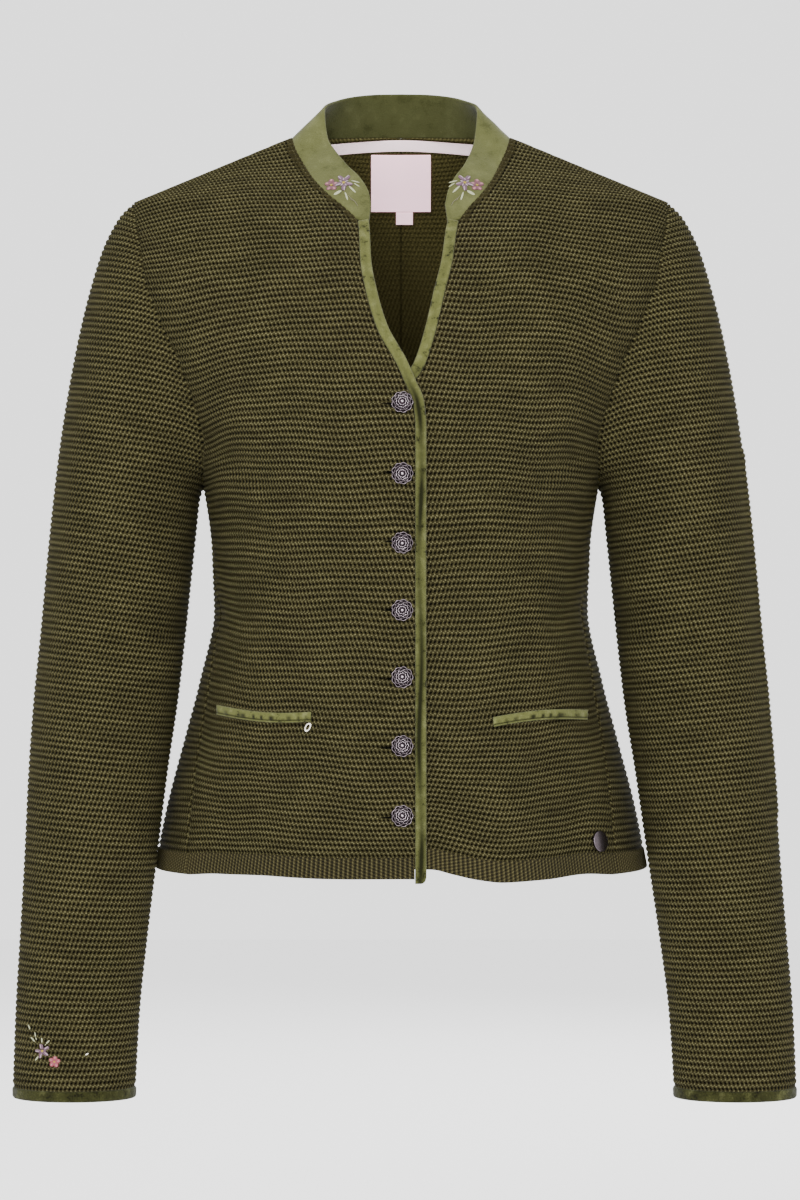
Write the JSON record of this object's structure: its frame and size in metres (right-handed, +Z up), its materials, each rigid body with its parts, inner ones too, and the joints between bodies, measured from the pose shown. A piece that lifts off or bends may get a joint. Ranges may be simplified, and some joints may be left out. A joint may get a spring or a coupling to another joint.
{
  "type": "trachten cardigan",
  "caption": "Fitted garter-stitch knit cardigan with velvet stand collar and edge binding, V neck, long sleeves, welt pockets and domed metal buttons, filled out as worn.",
  "frame": {"origin": "between the shoulders on the centre line, 5 mm below the neck points of the shoulder seams, where the wearer holds the cardigan up", "axes": "+Z up, -Y to the front, +X to the wearer's left"},
  "size_m": [0.544, 0.2906, 0.7106],
  "materials": {
    "garter_knit": "garter stitch knit, olive melange yarn",
    "rib_knit": "rib knit, olive melange yarn",
    "velvet": "short pile velvet, light olive",
    "woven_tape": "woven cotton tape, off white",
    "woven_label": "woven satin label, off white, left bare",
    "antique_silver": "antique silver plated metal"
  },
  "bodies": {
    "root": {"front_right": "garter_knit", "front_left": "garter_knit", "back": "garter_knit", "sleeve_right": "garter_knit", "sleeve_left": "garter_knit", "cuff_binding_right": "velvet", "cuff_binding_left": "velvet", "binding_right": "velvet", "binding_left": "velvet", "pocket_welt_right": "velvet", "pocket_welt_left": "velvet", "hem_band_right": "rib_knit", "hem_band_left": "rib_knit", "hem_band_back": "rib_knit", "collar": "velvet", "neck_tape": "woven_tape", "neck_label": "woven_label", "size_tab": "woven_label", "hem_badge": "antique_silver", "button_1": "antique_silver", "button_2": "antique_silver", "button_3": "antique_silver", "button_4": "antique_silver", "button_5": "antique_silver", "button_6": "antique_silver", "button_7": "antique_silver"}
  },
  "joints": []
}
